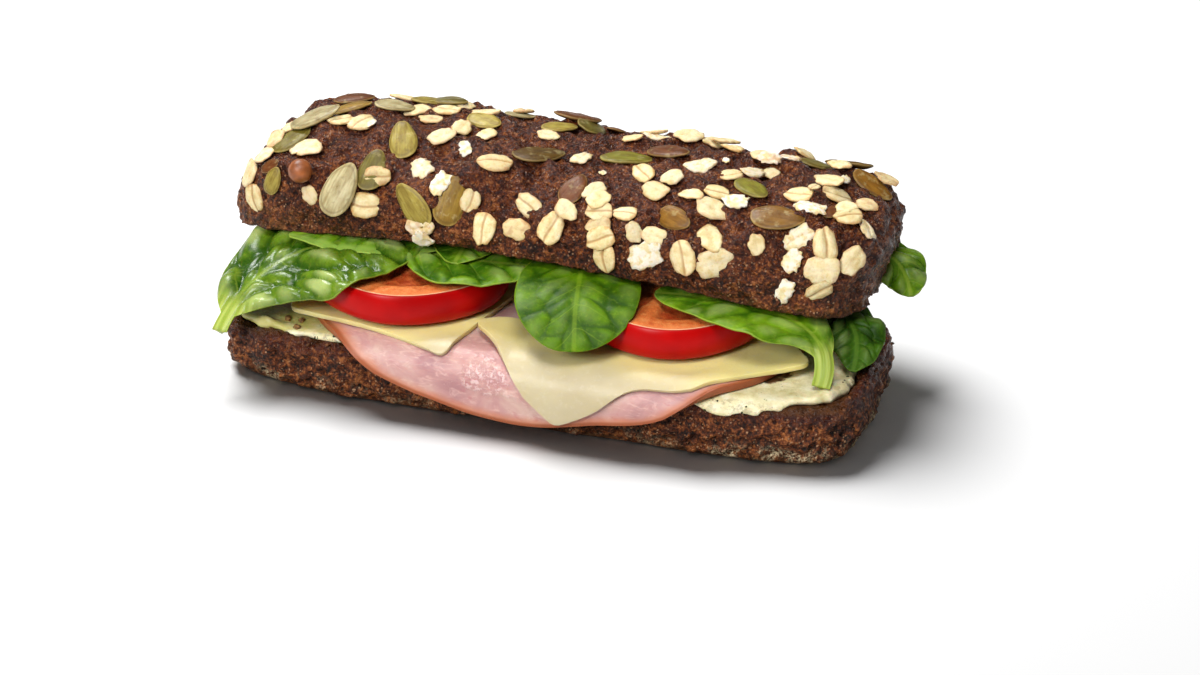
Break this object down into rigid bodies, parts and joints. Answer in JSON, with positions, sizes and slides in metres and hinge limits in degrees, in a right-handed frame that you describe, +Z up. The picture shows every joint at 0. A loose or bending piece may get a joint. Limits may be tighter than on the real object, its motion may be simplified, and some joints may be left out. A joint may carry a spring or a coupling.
{
  "type": "filled sandwich roll",
  "caption": "Long dark rye roll topped with oats and pumpkin seeds, cut through and filled with ham, cheese, tomato slices, spinach leaves and a mustard spread.",
  "frame": {"origin": "on the flat base of the bottom half, in the middle of its length and width", "axes": "+Z up, +X along the roll, -Y towards the open front where the filling shows"},
  "size_m": [0.1969, 0.103, 0.0642],
  "materials": {
    "crust": "dark baked crust, slightly glossy",
    "spread": "glossy cream",
    "ham": "moist",
    "cheese": "smooth, waxy",
    "tomato": "glossy skin",
    "spinach": "satin leaf"
  },
  "bodies": {
    "root": {"bread_bottom": "crust", "spread": "spread", "ham": "ham", "cheese_left": "cheese", "cheese_right": "cheese", "tomato_left": "tomato", "tomato_right": "tomato", "spinach_1": "spinach", "spinach_2": "spinach", "spinach_3": "spinach", "spinach_4": "spinach", "spinach_5": "spinach", "spinach_6": "spinach", "spinach_7": "spinach", "spinach_8": "spinach", "spinach_9": "spinach", "spinach_10": "spinach", "spinach_11": "spinach", "bread_top": "crust"}
  },
  "joints": []
}
